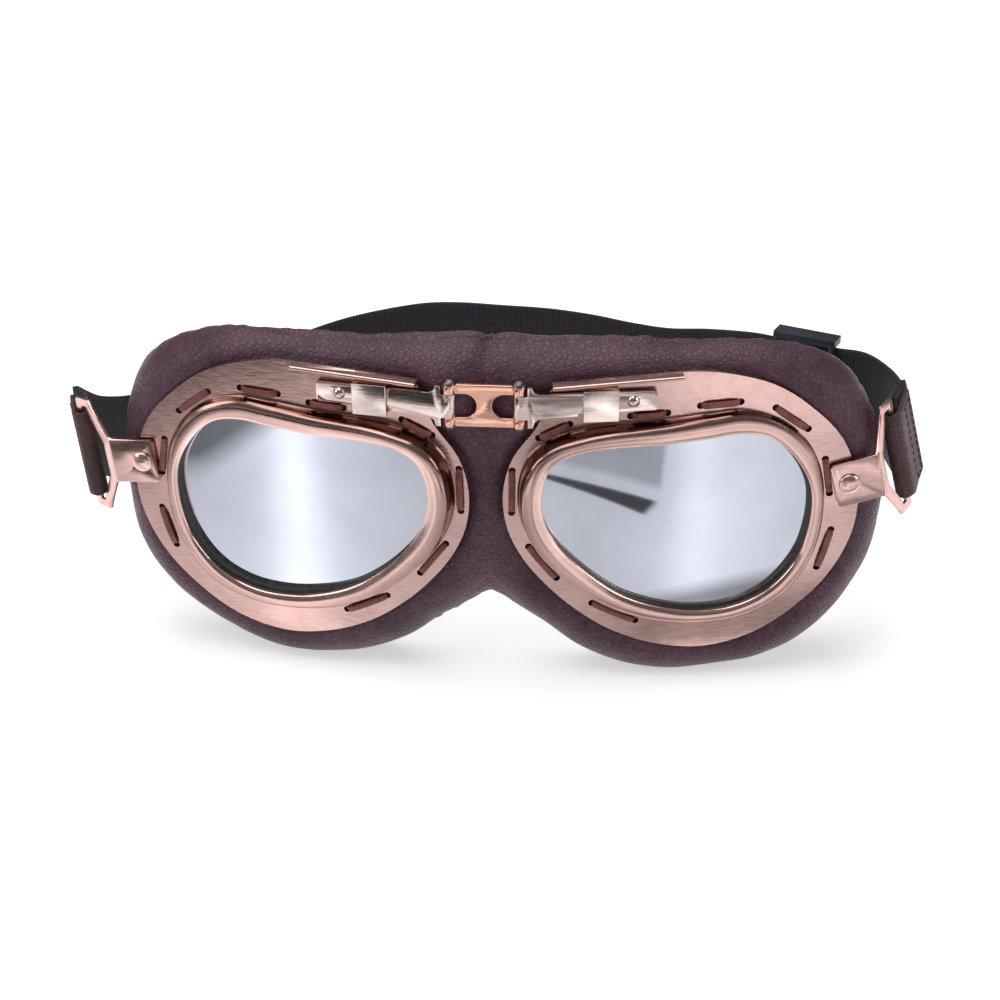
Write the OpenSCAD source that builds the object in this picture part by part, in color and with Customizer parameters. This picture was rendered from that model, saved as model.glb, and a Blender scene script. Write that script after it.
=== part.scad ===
// Riding goggles: two laced metal eye cups on a hinged bridge, a padded leather
// face seal and an elastic head strap. Front is -Y, up is +Z, the two lobes of
// the pad rest on z = 0. "left" is the -X side.

/* [Eye cups] */
// Half the distance between the two eye cup centres
eye_x = 41.7; // [41:0.1:43]
// Height of the eye cup centres above the resting surface
eye_z = 57; // [57:0.5:60]
// Angle each eye cup wraps back, in degrees
wrap = 8; // [7:0.5:9]
// Thickness of the stamped flange
flange_t = 0.8; // [0.6:0.1:0.9]
// Height of the bezel crown at the cup centre
bezel_h = 4.7; // [4.5:0.1:5.5]
// How much the bezel crown drops per millimetre towards the temple
bezel_slope = 0.052; // [0.04:0.002:0.06]
// Thickness of the lens
lens_t = 1.6; // [1.2:0.1:2.0]

/* [Bridge hinge] */
// Height of the hinge barrels and of the bridge plate
hinge_h = 11; // [10:0.5:12]
// Outer radius of the hinge barrels
barrel_r = 1.5; // [1.4:0.05:1.6]
// Radius of the hinge pins
pin_r = 0.7; // [0.6:0.05:0.8]
// Radial clearance of the pins in the arms
pin_clear = 0.05; // [0.03:0.01:0.08]

/* [Arms] */
// Thickness of the adjusting arms
arm_t = 1; // [0.8:0.1:1.1]
// Clearance of the arm in its keeper, per side
keeper_clear = 0.3; // [0.2:0.05:0.35]

/* [Pad] */
// Thickness of the leather skin
leather_t = 1.5; // [1.2:0.1:1.8]
// Distance from front to back of the pad at the nose
pad_back = 14; // [13:0.5:16]
// Extra depth of the pad at the temples
pad_temple = 22; // [18:1:24]

/* [Strap] */
// Height of the elastic strap
strap_h = 25; // [24:0.5:25.5]
// Thickness of the elastic strap
strap_t = 1.6; // [1.2:0.1:1.8]
// Resting angle of the left bracket about its rivet, in degrees
left_tilt = -5; // [-8:1:0]
// Resting angle of the right bracket about its rivet, in degrees
right_tilt = 15; // [5:1:18]
// How far back the flared end of the left bracket is bent, in degrees
left_flare = 28; // [25:1:40]
// How far back the flared end of the right bracket is bent, in degrees
right_flare = 50; // [40:1:55]

/* [Hidden] */
$fn = 48;
// moves the model so that its origin is at the middle of its base
module put() translate([1.166,-47.307,0]) children();

// ---- outlines of one eye cup, seen from the front: first value towards the temple, second up
// outer edge of the flange
edge_pts = [[49,0],[44.5,12],[36,21],[27,27],[17,30],[8,31],[0,30.5],[-8.5,30],[-17,29.5],[-26,27.5],
  [-29.5,18],[-35.5,9.5],[-38,0],[-37,-10],[-33,-19],[-27,-27],[-20,-34],[-11,-40.5],[0,-45],[12.5,-46.5],
  [25,-43],[35.5,-35.5],[44,-25.5],[49,-13]];
// foot of the bezel on the flange
foot_pts = [[40.4,-0.5],[37,9.5],[30,17],[21,20.3],[12,19.7],[5,18.8],[0,18.2],[-6,17.8],[-13,17.3],[-19.5,16.3],
  [-26.3,14.2],[-31.5,9.8],[-34,2],[-33.6,-6.5],[-30.3,-14.5],[-25,-21.3],[-18.5,-27.5],[-11,-32.5],[-1.5,-36.3],[9.5,-38],
  [21,-37],[31.2,-32],[37.8,-22.8],[40.6,-12.5]];
// opening of the bezel
open_pts = [[37.5,-1],[33.3,7.5],[26.8,13.6],[19.5,15.2],[12,14.4],[5,13.8],[0,13.4],[-6,13.4],[-12.3,13.2],[-18,12.6],
  [-23.4,11],[-27.3,7.6],[-29,1],[-28.4,-5.7],[-25.6,-11.8],[-20.8,-18],[-15,-23.8],[-8.5,-28.6],[0,-32.2],[9.5,-34.2],
  [19.5,-33.6],[28.4,-29.3],[34.8,-21.4],[37.7,-11.5]];
// pairs of lace holes
lace = [[[-35.7,6.2],[-35.9,-5.4]], [[-31.8,-15.2],[-24.9,-24.5]], [[-15.9,-32.3],[-4.9,-37.9]],
  [[43.4,-13.3],[40.6,-24]], [[40.6,6.5],[42.3,-3]], [[35.8,14.9],[27.7,20.8]], [[19.1,22.7],[9.5,22]],
  [[1.6,20.4],[-7.2,19.9]], [[-21.8,18.2],[-29.2,14.8]]];
rivet_at = [46.7, 0.2];
// outline of the right half of the pad, seen from the front, about the eye height
pad_pts = [[96.5,0],[95,12],[90.5,23.5],[83,31],[72,35],[60,36],[48,35.5],[36,36],[24,36],[12,36],[0,36],
  [0,24],[0,12],[0,0],[0,-12],[0,-24],[0,-34.5],[13,-44],[23,-51],[35,-56],[48,-57.6],[62.5,-55.2],[76.5,-50],[87,-40.5],[94,-28],[97,-14]];
// centre line of the strap: x, y, height of its middle. It runs straight and level through the
// adjuster. The two side lengths stop short of the middle, where the third length bends as the goggles fold
strap_dir = [-0.92,0.392];
adjuster_at = [81.7,79,49.2];
function on_run(t) = adjuster_at+t*[strap_dir[0],strap_dir[1],0];
strap_right = [[104.6,26.9,60],[106.4,38,53.8],[106.2,52,48.2],[103.6,65,47.6],on_run(-17),on_run(-8.5),on_run(0),on_run(8.5),on_run(17),
  [54,92,47],[43,97.5,44.5],[32,101.3,44.3]];
strap_left = [[108.9,24.4,54],[107.6,37,47],[102.5,51,40.8],[93,66,39],[81,80,40],[66,91,42.3],[50,99.6,44.8],[32,103.5,47.6]];
strap_mid = [[31.6,101.4,44.3],[20,103.3,45.8],[7,104.3,47.2],[-7,104.6,47.8],[-20,104.5,48.2],[-31.6,103.5,47.6]];

// ---- curves
function cr(a,b,c,d,t) = 0.5*(2*b+(c-a)*t+(2*a-5*b+4*c-d)*t*t+(3*b-a-3*c+d)*t*t*t);
function closed(P,n) = [for(i=[0:len(P)-1]) for(k=[0:n-1])
  cr(P[(i+len(P)-1)%len(P)],P[i],P[(i+1)%len(P)],P[(i+2)%len(P)],k/n)];
function at(P,i) = P[max(0,min(len(P)-1,i))];
function run(P,n) = concat([for(i=[0:len(P)-2]) for(k=[0:n-1]) cr(at(P,i-1),P[i],P[i+1],at(P,i+2),k/n)],[P[len(P)-1]]);
function side(C,i) = let(v=C[(i+1)%len(C)]-C[(i+len(C)-1)%len(C)]) [v[1],-v[0]]/norm(v);
function grow(C,d) = [for(i=[0:len(C)-1]) C[i]+d*side(C,i)];
function cx(a,b) = a[0]*b[1]-a[1]*b[0];
// distance from c to a closed outline in the direction a
function reach(C,c,a) = let(u=[cos(a),sin(a)]) max([for(i=[0:len(C)-1])
  let(p=C[i]-c, e=C[(i+1)%len(C)]-C[i], q=cx(u,e)) abs(q)<1e-9 ? 0 :
  let(t=cx(p,e)/q, s=cx(p,u)/q) (s>=-1e-9 && s<=1+1e-9 && t>0) ? t : 0]);

edge = closed(edge_pts,4);
foot = closed(foot_pts,3);
open_c = closed(open_pts,3);

// ---- solids from rings of points
module skin_loop(R) { N=len(R); M=len(R[0]);
  polyhedron([for(r=R) for(p=r) p],
    [for(i=[0:N-1]) for(j=[0:M-1]) each [[i*M+j, i*M+(j+1)%M, ((i+1)%N)*M+(j+1)%M],[i*M+j, ((i+1)%N)*M+(j+1)%M, ((i+1)%N)*M+j]]], convexity=8); }
module skin_run(R) { N=len(R); M=len(R[0]);
  polyhedron([for(r=R) for(p=r) p],
    concat([for(i=[0:N-2]) for(j=[0:M-1]) each [[i*M+j, i*M+(j+1)%M, (i+1)*M+(j+1)%M],[i*M+j, (i+1)*M+(j+1)%M, (i+1)*M+j]]],
      [[for(j=[M-1:-1:0]) j], [for(j=[0:M-1]) (N-1)*M+j]]), convexity=8); }
// plate in the plane of an eye cup, between two depths behind its back face (negative is forward)
module slab(y0,y1) translate([0,y1,0]) rotate([90,0,0]) linear_extrude(y1-y0) children();
module cup() translate([eye_x,0,eye_z]) rotate([0,0,wrap]) children();
module lefty() mirror([1,0,0]) children();
// plane of the bezel crown
module crown() translate([0,-bezel_h,0]) rotate([0,0,atan(bezel_slope)]) children();
module pinhole(p,r,y0,y1) translate([p[0],y1,p[1]]) rotate([90,0,0]) cylinder(r=r,h=y1-y0);

// ---- bridge
pin_u = -33.8; pin_w = -0.8;
pin_x = eye_x+pin_u*cos(wrap)-pin_w*sin(wrap);
pin_y = pin_u*sin(wrap)+pin_w*cos(wrap);
hz = eye_z+17.8;
knuckle = 2.4;
module bridge_plate() color("peru") difference() {
  union() {
    translate([-pin_x,pin_y-0.5,hz]) cube([2*pin_x,1,hinge_h]);
    for(s=[-1,1]) for(z=[0,hinge_h-knuckle]) translate([s*pin_x,pin_y,hz+z]) cylinder(r=barrel_r,h=knuckle);
  }
  for(s=[-1,1]) {
    translate([s*(pin_x-3.4),pin_y+2,hz+hinge_h/2]) rotate([90,0,0]) cylinder(r=hinge_h/2-knuckle,h=4);
    translate([s*(pin_x-3.4)-(s<0?8:0),pin_y-2,hz+knuckle]) cube([8,4,hinge_h-2*knuckle]);
    translate([s*pin_x,pin_y,hz-1]) cylinder(r=pin_r,h=hinge_h+2);
  }
}
module hinge_pin() color("dimgray") translate([pin_x,pin_y,0]) {
  translate([0,0,hz]) cylinder(r=pin_r,h=hinge_h);
  translate([0,0,hz+hinge_h]) cylinder(r=1.75,h=0.4);
  translate([0,0,hz+hinge_h+0.4]) intersection() { translate([0,0,-1.3]) sphere(r=2.18); cylinder(r=1.75,h=2); }
  translate([0,0,hz-0.6]) cylinder(r=1.35,h=0.6);
}
module arm_bar() color("rosybrown") cup() difference() {
  union() {
    translate([pin_u,pin_w,17.8+knuckle+0.1]) cylinder(r=barrel_r,h=hinge_h-2*knuckle-0.2);
    translate([pin_u,-2.3,17.8+knuckle+0.1]) cube([2.2,arm_t,hinge_h-2*knuckle-0.2]);
    slab(-2.3,-2.3+arm_t) polygon([[-31.9,18.1],[-30.7,18.1],[-30.3,19.6],[-29,20.5],[-20,20.9],[-20,21.6],[-1.5,21.9],[-1,22.4],[-1,26.5],[-1.5,27],[-29,26.7],[-30.3,27.4],[-30.7,28.5],[-31.9,28.5]]);
    translate([-6.75,-2.3,24.4]) intersection() { translate([0,0.9,0]) sphere(r=1.75); translate([-3,-2,-3]) cube([6,2.5,6]); }
  }
  translate([pin_u,pin_w,10]) cylinder(r=pin_r+pin_clear,h=30);
}
module nose_pad() color("#3d2a2e") skin_run([for(z=[25:5.4:90]) let(k=(z-25)/64.8, f=-3.6+1.6*abs(2*k-1)*abs(2*k-1), w=2.4)
  [[-w,f,z],[w,f,z],[w,pad_back,z],[-w,pad_back,z]]]);

// ---- eye cup
module flange() color("#a77b6c") cup() {
  difference() {
    union() {
      slab(-flange_t,0) difference() { polygon(edge); polygon(grow(foot,-1.2)); }
      // turned lip that guards the arm
      translate([-25.9,0,28.1]) rotate([0,-3.4,0]) { translate([0,-3,0]) cube([31,3,0.9]);
        translate([0,-3,0.45]) rotate([0,90,0]) cylinder(r=0.45,h=31); }
    }
    for(q=lace) for(p=q) pinhole(p,0.9,-2,1);
    pinhole(rivet_at,1.2,-2,1);
  }
}
module keeper() color("#b98a76") cup() difference() {
  translate([-18.7,-flange_t-2.7,19.8]) cube([8.4,2.7,8]);
  translate([-19,-2.3-keeper_clear,21.6-1]) cube([9,arm_t+2*keeper_clear,6.8]);
}
function crown_h(u) = bezel_h-bezel_slope*u;
module bezel() color("#c98f76") cup() skin_loop([for(i=[0:len(foot)-1]) let(F=foot[i], I=open_c[i], w=norm(I-F), e=(I-F)/w,
    D=crown_h(F[0]), J=crown_h(I[0]),
    s=[[0,flange_t],[min(0.35,w*0.1),max(1,D-1.4)],[w*0.26,D-0.35],[w*0.5,D],[w*0.82,J-0.2],[w,J-0.9],[w,J-2.1],[max(1.6,w*0.45),D-2.1],[1.1,flange_t]])
  [for(q=s) let(p=F+e*q[0]) [p[0],-q[1],p[1]]]]);
module gasket() color("#1c1c20") cup() crown() slab(2.2,3.1) difference() { polygon(grow(open_c,0.9)); polygon(grow(open_c,-1)); }
module lens() color("#b9bfca") cup() crown() slab(3.1,3.1+lens_t) polygon(grow(open_c,0.9));
module inner_rim() color("#5b4036") cup() crown() slab(3.1+lens_t,4.1+lens_t) difference() { polygon(grow(open_c,0.9)); polygon(grow(open_c,-0.8)); }
module stitch(p,q) { L=norm(q-p); a=atan2(q[1]-p[1],q[0]-p[0]);
  translate([p[0],0,p[1]]) rotate([0,-a,0]) { translate([0,-flange_t-0.6,-0.85]) cube([L,0.6,1.7]);
    for(x=[0,L]) translate([x,-0.05,0]) rotate([90,0,0]) cylinder(r=0.85,h=flange_t+0.55,$fn=24); } }
module lacing() color("#7c3b33") cup() for(q=lace) stitch(q[0],q[1]);
module rivet() color("#d08d6c") cup() {
  pinhole(rivet_at,1.2,-2.4,0);
  pinhole(rivet_at,2.2,-flange_t-0.6,-flange_t);
  translate([rivet_at[0],-2.4,rivet_at[1]]) rotate([90,0,0]) { cylinder(r=2.65,h=0.4);
    translate([0,0,0.4]) intersection() { translate([0,0,-3.9]) sphere(r=4.715); cylinder(r=2.65,h=2); } }
}

// ---- pad: rings of points around the eye opening
pc = [eye_x,-8];
pad_c = closed(pad_pts,3);
hole_c = [for(p=grow(foot,-1.2)) [eye_x+p[0]*cos(wrap),p[1]]];
function face_y(x) = max((x-eye_x)*tan(wrap)+0.05,-3.4);
function back_y(x) = pad_back+pad_temple*(x/96)*(x/96);
function nose_x(y) = 5.4+0.268*max(0,y);
// the pad's upper outer corner draws in towards the back
function taper(a) = 6*pow(max(0,cos(a-48)),2);
// one point of the pad, t inside the skin
function pad_pt(a,r,y,t,b) = let(x=pc[0]+r*cos(a), z=pc[1]+r*sin(a)) [max(x,nose_x(y)+t), y+0, max(z,-57+t*b)+eye_z];
function leather_ring(a) = let(ri=reach(hole_c,pc,a), ro=reach(pad_c,pc,a), T=leather_t,
    X=pc[0]+ro*cos(a), xo=max(X,6), y0=face_y(pc[0]+ri*cos(a)), y1=face_y(max(6,xo-7*cos(a))), y2=face_y(xo), yb=back_y(xo))
  [pad_pt(a,ri,y0,0,1), pad_pt(a,ro-7,y1,0,1), pad_pt(a,ro-2.2,y2+1.5,0,1), pad_pt(a,ro-0.4,y2+5,0,1), pad_pt(a,ro,y2+9,0,1), pad_pt(a,ro-taper(a),yb,0,1),
   pad_pt(a,ro-T-taper(a),yb,T,1), pad_pt(a,ro-T,y2+9,T,1), pad_pt(a,ro-0.4-T,y2+5.4,T,1), pad_pt(a,ro-2.2-T*0.8,y2+1.5+T*0.8,T,1), pad_pt(a,ro-7.3,y1+T,T,1), pad_pt(a,ri,y0+T,0,1)];
module pad_leather() color("#43303a") skin_loop([for(a=[0:5:355]) leather_ring(a)]);
function foam_ring(a) = let(ri=reach(hole_c,pc,a), ro=reach(pad_c,pc,a), T=leather_t+0.1,
    X=pc[0]+ro*cos(a), xo=max(X,6), xi=pc[0]+ri*cos(a), y0=face_y(xi), y1=face_y(max(6,xo-7*cos(a))), y2=face_y(xo), yb=back_y(xo))
  [pad_pt(a,ri,y0+T,T,1), pad_pt(a,ro-7.4,y1+T,T,1), pad_pt(a,ro-2.3-T,y2+1.6+T,T,1), pad_pt(a,ro-T-0.1,y2+9,T,1), pad_pt(a,ro-T-0.1-taper(a),yb-1.2,T,1), pad_pt(a,ri,back_y(xi)-1.2,T,1)];
module pad_foam() color("#6f6a66") skin_loop([for(a=[0:5:355]) foam_ring(a)]);
function lining_ring(a) = let(ri=reach(hole_c,pc,a), ro=reach(pad_c,pc,a), T=leather_t+0.1,
    xo=max(pc[0]+ro*cos(a),6), xi=pc[0]+ri*cos(a), yb=back_y(xo), yi=back_y(xi))
  [pad_pt(a,ri,yi-1.1,T,1), pad_pt(a,ro-T-0.2-taper(a),yb-1.1,T,1), pad_pt(a,ro-T-0.2-taper(a),yb,T,1), pad_pt(a,ri,yi,T,1)];
module pad_lining() color("#2a2426") skin_loop([for(a=[0:5:355]) lining_ring(a)]);

// ---- strap
function flat(v) = [v[0],v[1]]/norm([v[0],v[1]]);
module ribbon(P,first=[-sin(wrap),cos(wrap)]) { C=run(P,3); N=len(C);
  skin_run([for(i=[0:N-1]) let(d= i==0 ? first : flat(C[min(N-1,i+1)]-C[max(0,i-1)]), n=[d[1],-d[0]]*strap_t/2, h=strap_h/2)
    [[C[i][0]-n[0],C[i][1]-n[1],C[i][2]-h],[C[i][0]+n[0],C[i][1]+n[1],C[i][2]-h],[C[i][0]+n[0],C[i][1]+n[1],C[i][2]+h],[C[i][0]-n[0],C[i][1]-n[1],C[i][2]+h]]]); }
module at_rivet(tilt) cup() translate([rivet_at[0],0,rivet_at[1]]) rotate([0,-tilt,0]) children();
module at_flare(f) translate([7.8,-2.3,0]) rotate([0,0,f]) children();
module bracket_plate(tilt,f) color("#b47f69") at_rivet(tilt) {
  difference() {
    union() {
      slab(-2.3,-1.5) polygon([[-3.7,-5.2],[-3,-5.9],[7.8,-5.9],[7.8,5.9],[-3,5.9],[-3.7,5.2]]);
      translate([7.8,-1.5,-5.9]) cylinder(r=0.8,h=11.8,$fn=32);
    }
    pinhole([0,0],1.25,-3,0);
  }
  at_flare(f) slab(0,0.8) difference() {
    polygon([[0,-5.9],[1,-6.4],[5.4,-13.6],[6.2,-15.4],[10.8,-15.4],[11.4,-14.8],[11.4,14.8],[10.8,15.4],[6.2,15.4],[5.4,13.6],[1,6.4],[0,5.9]]);
    polygon([[3,-4.4],[7.2,-11.6],[7.7,-13.3],[9.4,-13.3],[9.4,13.3],[7.7,13.3],[7.2,11.6],[3,4.4]]);
  }
}
module tab(tilt,f,turn) color("#4a2c28") at_rivet(tilt) at_flare(f) translate([10.4,0.4,-11.8]) linear_extrude(23.6) difference() {
  union() { circle(r=2.5); rotate(turn) translate([0,-1.9]) square([11.6,3.8]); }
  circle(r=1.3);
}
module adjuster() color("#22252e") translate(adjuster_at) rotate([0,0,atan2(strap_dir[1],strap_dir[0])]) {
  for(s=[-1,1]) translate([-9,-2.6,s>0?13.2:-15.4]) cube([18,5.2,2.2]);
  translate([0,-2.1,-14]) cylinder(r=0.9,h=28,$fn=32);
  for(x=[-8,8]) translate([x,2.1,-14]) cylinder(r=0.9,h=28,$fn=32);
}

put() bridge_plate();
put() lefty() hinge_pin();  // left_hinge_pin
put() hinge_pin();  // right_hinge_pin
put() nose_pad();
put() lefty() arm_bar();  // left_arm_bar
put() arm_bar();  // right_arm_bar
put() lefty() flange();  // left_flange
put() lefty() keeper();  // left_keeper
put() lefty() bezel();  // left_bezel
put() lefty() gasket();  // left_gasket
put() lefty() lens();  // left_lens
put() lefty() inner_rim();  // left_inner_rim
put() lefty() lacing();  // left_lacing
put() lefty() rivet();  // left_rivet
put() lefty() pad_leather();  // left_pad_leather
put() lefty() pad_foam();  // left_pad_foam
put() lefty() pad_lining();  // left_pad_lining
put() lefty() ribbon(strap_left);  // left_strap
put() lefty() bracket_plate(left_tilt,left_flare);  // left_bracket_plate
put() lefty() tab(left_tilt,left_flare,32);  // left_tab
put() flange();  // right_flange
put() keeper();  // right_keeper
put() bezel();  // right_bezel
put() gasket();  // right_gasket
put() lens();  // right_lens
put() inner_rim();  // right_inner_rim
put() lacing();  // right_lacing
put() rivet();  // right_rivet
put() pad_leather();  // right_pad_leather
put() pad_foam();  // right_pad_foam
put() pad_lining();  // right_pad_lining
put() ribbon(strap_right);  // right_strap
put() bracket_plate(right_tilt,right_flare);  // right_bracket_plate
put() tab(right_tilt,right_flare,14);  // right_tab
put() ribbon(strap_mid, flat(strap_mid[1]-strap_mid[0]));  // strap_back
put() adjuster();
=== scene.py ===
import bpy, bmesh, math
import numpy as np
from mathutils import Vector, Matrix

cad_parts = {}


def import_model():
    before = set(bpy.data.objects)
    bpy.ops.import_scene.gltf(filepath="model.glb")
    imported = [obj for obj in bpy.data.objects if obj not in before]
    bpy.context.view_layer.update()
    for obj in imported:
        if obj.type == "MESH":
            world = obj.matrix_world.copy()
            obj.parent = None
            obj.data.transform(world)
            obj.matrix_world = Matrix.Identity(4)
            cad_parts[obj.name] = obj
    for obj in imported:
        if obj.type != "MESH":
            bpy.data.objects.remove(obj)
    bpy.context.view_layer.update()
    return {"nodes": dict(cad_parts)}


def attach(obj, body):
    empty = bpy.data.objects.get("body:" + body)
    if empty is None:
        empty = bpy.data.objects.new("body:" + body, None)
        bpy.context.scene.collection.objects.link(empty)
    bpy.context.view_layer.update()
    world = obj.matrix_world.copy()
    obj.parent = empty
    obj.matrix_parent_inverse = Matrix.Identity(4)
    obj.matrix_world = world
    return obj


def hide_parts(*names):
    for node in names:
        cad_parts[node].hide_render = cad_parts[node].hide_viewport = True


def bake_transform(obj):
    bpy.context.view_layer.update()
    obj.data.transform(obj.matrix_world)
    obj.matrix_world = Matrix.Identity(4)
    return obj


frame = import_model()
MM = 0.001
ORG = np.array([1.166, -47.307, 0.0])
EX, EZ, WRAP = 41.7, 57.0, math.radians(8)
CW, SW = math.cos(WRAP), math.sin(WRAP)
rng = np.random.default_rng(7)

# ------------------------------------------------------------------ outlines, as in the CAD
EDGE = [[49,0],[44.5,12],[36,21],[27,27],[17,30],[8,31],[0,30.5],[-8.5,30],[-17,29.5],[-26,27.5],
  [-29.5,18],[-35.5,9.5],[-38,0],[-37,-10],[-33,-19],[-27,-27],[-20,-34],[-11,-40.5],[0,-45],[12.5,-46.5],
  [25,-43],[35.5,-35.5],[44,-25.5],[49,-13]]
FOOT = [[40.4,-0.5],[37,9.5],[30,17],[21,20.3],[12,19.7],[5,18.8],[0,18.2],[-6,17.8],[-13,17.3],[-19.5,16.3],
  [-26.3,14.2],[-31.5,9.8],[-34,2],[-33.6,-6.5],[-30.3,-14.5],[-25,-21.3],[-18.5,-27.5],[-11,-32.5],[-1.5,-36.3],[9.5,-38],
  [21,-37],[31.2,-32],[37.8,-22.8],[40.6,-12.5]]
OPEN = [[37.5,-1],[33.3,7.5],[26.8,13.6],[19.5,15.2],[12,14.4],[5,13.8],[0,13.4],[-6,13.4],[-12.3,13.2],[-18,12.6],
  [-23.4,11],[-27.3,7.6],[-29,1],[-28.4,-5.7],[-25.6,-11.8],[-20.8,-18],[-15,-23.8],[-8.5,-28.6],[0,-32.2],[9.5,-34.2],
  [19.5,-33.6],[28.4,-29.3],[34.8,-21.4],[37.7,-11.5]]
LACE = [[[-35.7,6.2],[-35.9,-5.4]], [[-31.8,-15.2],[-24.9,-24.5]], [[-15.9,-32.3],[-4.9,-37.9]],
  [[43.4,-13.3],[40.6,-24]], [[40.6,6.5],[42.3,-3]], [[35.8,14.9],[27.7,20.8]], [[19.1,22.7],[9.5,22]],
  [[1.6,20.4],[-7.2,19.9]], [[-21.8,18.2],[-29.2,14.8]]]
PAD = [[96.5,0],[95,12],[90.5,23.5],[83,31],[72,35],[60,36],[48,35.5],[36,36],[24,36],[12,36],[0,36],
  [0,24],[0,12],[0,0],[0,-12],[0,-24],[0,-34.5],[13,-44],[23,-51],[35,-56],[48,-57.6],[62,-54.8],[75,-48.5],[85,-39],[92,-27],[95.5,-14]]
RIVET = (46.7, 0.2)
TILT = {-1: math.radians(-5), 1: math.radians(15)}

def cr(a, b, c, d, t):
    return 0.5*(2*b+(c-a)*t+(2*a-5*b+4*c-d)*t*t+(3*b-a-3*c+d)*t**3)
def closed(P, n):
    P = np.array(P, float); N = len(P); t = (np.arange(n)/n)[:, None]
    return np.concatenate([cr(P[i-1], P[i], P[(i+1) % N], P[(i+2) % N], t) for i in range(N)])
def run(P, n):
    P = np.array(P, float); N = len(P); t = (np.arange(n)/n)[:, None]
    g = lambda i: P[min(max(i, 0), N-1)]
    return np.concatenate([cr(g(i-1), g(i), g(i+1), g(i+2), t) for i in range(N-1)]+[P[-1:]])
def normals2(C):
    v = np.roll(C, -1, 0)-np.roll(C, 1, 0); v /= np.linalg.norm(v, axis=1)[:, None]
    return np.stack([v[:, 1], -v[:, 0]], 1)
def grow(C, d):
    return C+normals2(C)*d
def reach(C, c, a):
    u = np.array([math.cos(a), math.sin(a)]); p = C-c; e = np.roll(C, -1, 0)-C
    q = u[0]*e[:, 1]-u[1]*e[:, 0]; q = np.where(abs(q) < 1e-12, 1e-12, q)
    t = (p[:, 0]*e[:, 1]-p[:, 1]*e[:, 0])/q; s = (p[:, 0]*u[1]-p[:, 1]*u[0])/q
    ok = (s >= -1e-9) & (s <= 1+1e-9) & (t > 0)
    return t[ok].max()
def seg_dist(P, C, loop=True):
    A = C if loop else C[:-1]; B = np.roll(C, -1, 0) if loop else C[1:]
    e = B-A; out = np.full(len(P), 1e9)
    for i in range(len(A)):
        w = P-A[i]; L = max(e[i]@e[i], 1e-12); t = np.clip((w@e[i])/L, 0, 1)
        out = np.minimum(out, np.linalg.norm(w-t[:, None]*e[i], axis=1))
    return out
def inside(P, C):
    x, y = P[:, 0], P[:, 1]; r = np.zeros(len(P), bool); D = np.roll(C, -1, 0)
    for (x0, y0), (x1, y1) in zip(C, D):
        c = (y0 > y) != (y1 > y)
        r ^= c & (x < (x1-x0)*(y-y0)/((y1-y0) if y1 != y0 else 1e-12)+x0)
    return r
def cup(u, w, v):
    u, w, v = np.broadcast_arrays(np.asarray(u, float), w, v)
    return np.stack([EX+u*CW-w*SW, u*SW+w*CW, EZ+v], -1)
def world(P, side=1):
    P = np.array(P, float).copy(); P[..., 0] *= side
    return (P+ORG)*MM
edge_c, foot_c, open_c, pad_c = closed(EDGE, 10), closed(FOOT, 10), closed(OPEN, 10), closed(PAD, 6)
crown = lambda u: 4.7-0.052*u

# smooth value noise, the same every run
_perm = rng.permutation(4096); _val = rng.random(4096)*2-1
def vnoise(P, s, seed=0):
    Q = P/s+seed*17.3; i = np.floor(Q).astype(int); f = Q-i; f = f*f*f*(f*(f*6-15)+10); r = 0
    for dx in (0, 1):
        for dy in (0, 1):
            for dz in (0, 1):
                h = _val[_perm[(_perm[(_perm[(i[..., 0]+dx) % 4096]+i[..., 1]+dy) % 4096]+i[..., 2]+dz) % 4096]]
                r = r+h*(f[..., 0] if dx else 1-f[..., 0])*(f[..., 1] if dy else 1-f[..., 1])*(f[..., 2] if dz else 1-f[..., 2])
    return r

# ------------------------------------------------------------------ meshes
def mesh_obj(name, V, F, mat, uv=None, smooth=True, angle=None):
    me = bpy.data.meshes.new(name); me.from_pydata([tuple(v) for v in V], [], [tuple(f) for f in F]); me.update()
    if uv is not None:
        l = me.uv_layers.new(name="uv"); idx = np.zeros(len(me.loops), np.int32); me.loops.foreach_get("vertex_index", idx)
        l.data.foreach_set("uv", np.asarray(uv, np.float32)[idx].ravel())
    if smooth:
        me.polygons.foreach_set("use_smooth", [True]*len(me.polygons))
        if angle: me.set_sharp_from_angle(angle=math.radians(angle))
    o = bpy.data.objects.new(name, me); bpy.context.scene.collection.objects.link(o); o.data.materials.append(mat)
    return o
def grid_faces(N, M, cn, cm, flip=False, keep=None):
    F = []
    for i in range(N if cn else N-1):
        for j in range(M if cm else M-1):
            if keep is not None and not keep[i, j]: continue
            a, b, c, d = i*M+j, i*M+(j+1) % M, ((i+1) % N)*M+(j+1) % M, ((i+1) % N)*M+j
            F.append((d, c, b, a) if flip else (a, b, c, d))
    return F
def grid_obj(name, G, mat, cn=False, cm=False, side=1, flip=False, uv=None, caps=False, angle=None, keep=None):
    N, M = G.shape[:2]; fl = flip ^ (side < 0)
    F = grid_faces(N, M, cn, cm, fl, keep)
    if caps:
        a = list(range(M)); b = [(N-1)*M+j for j in range(M)]
        F += [tuple(a) if fl else tuple(a[::-1]), tuple(b[::-1]) if fl else tuple(b)]
    return mesh_obj(name, world(G, side).reshape(-1, 3), F, mat, None if uv is None else uv.reshape(-1, 2), angle=angle)

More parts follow.
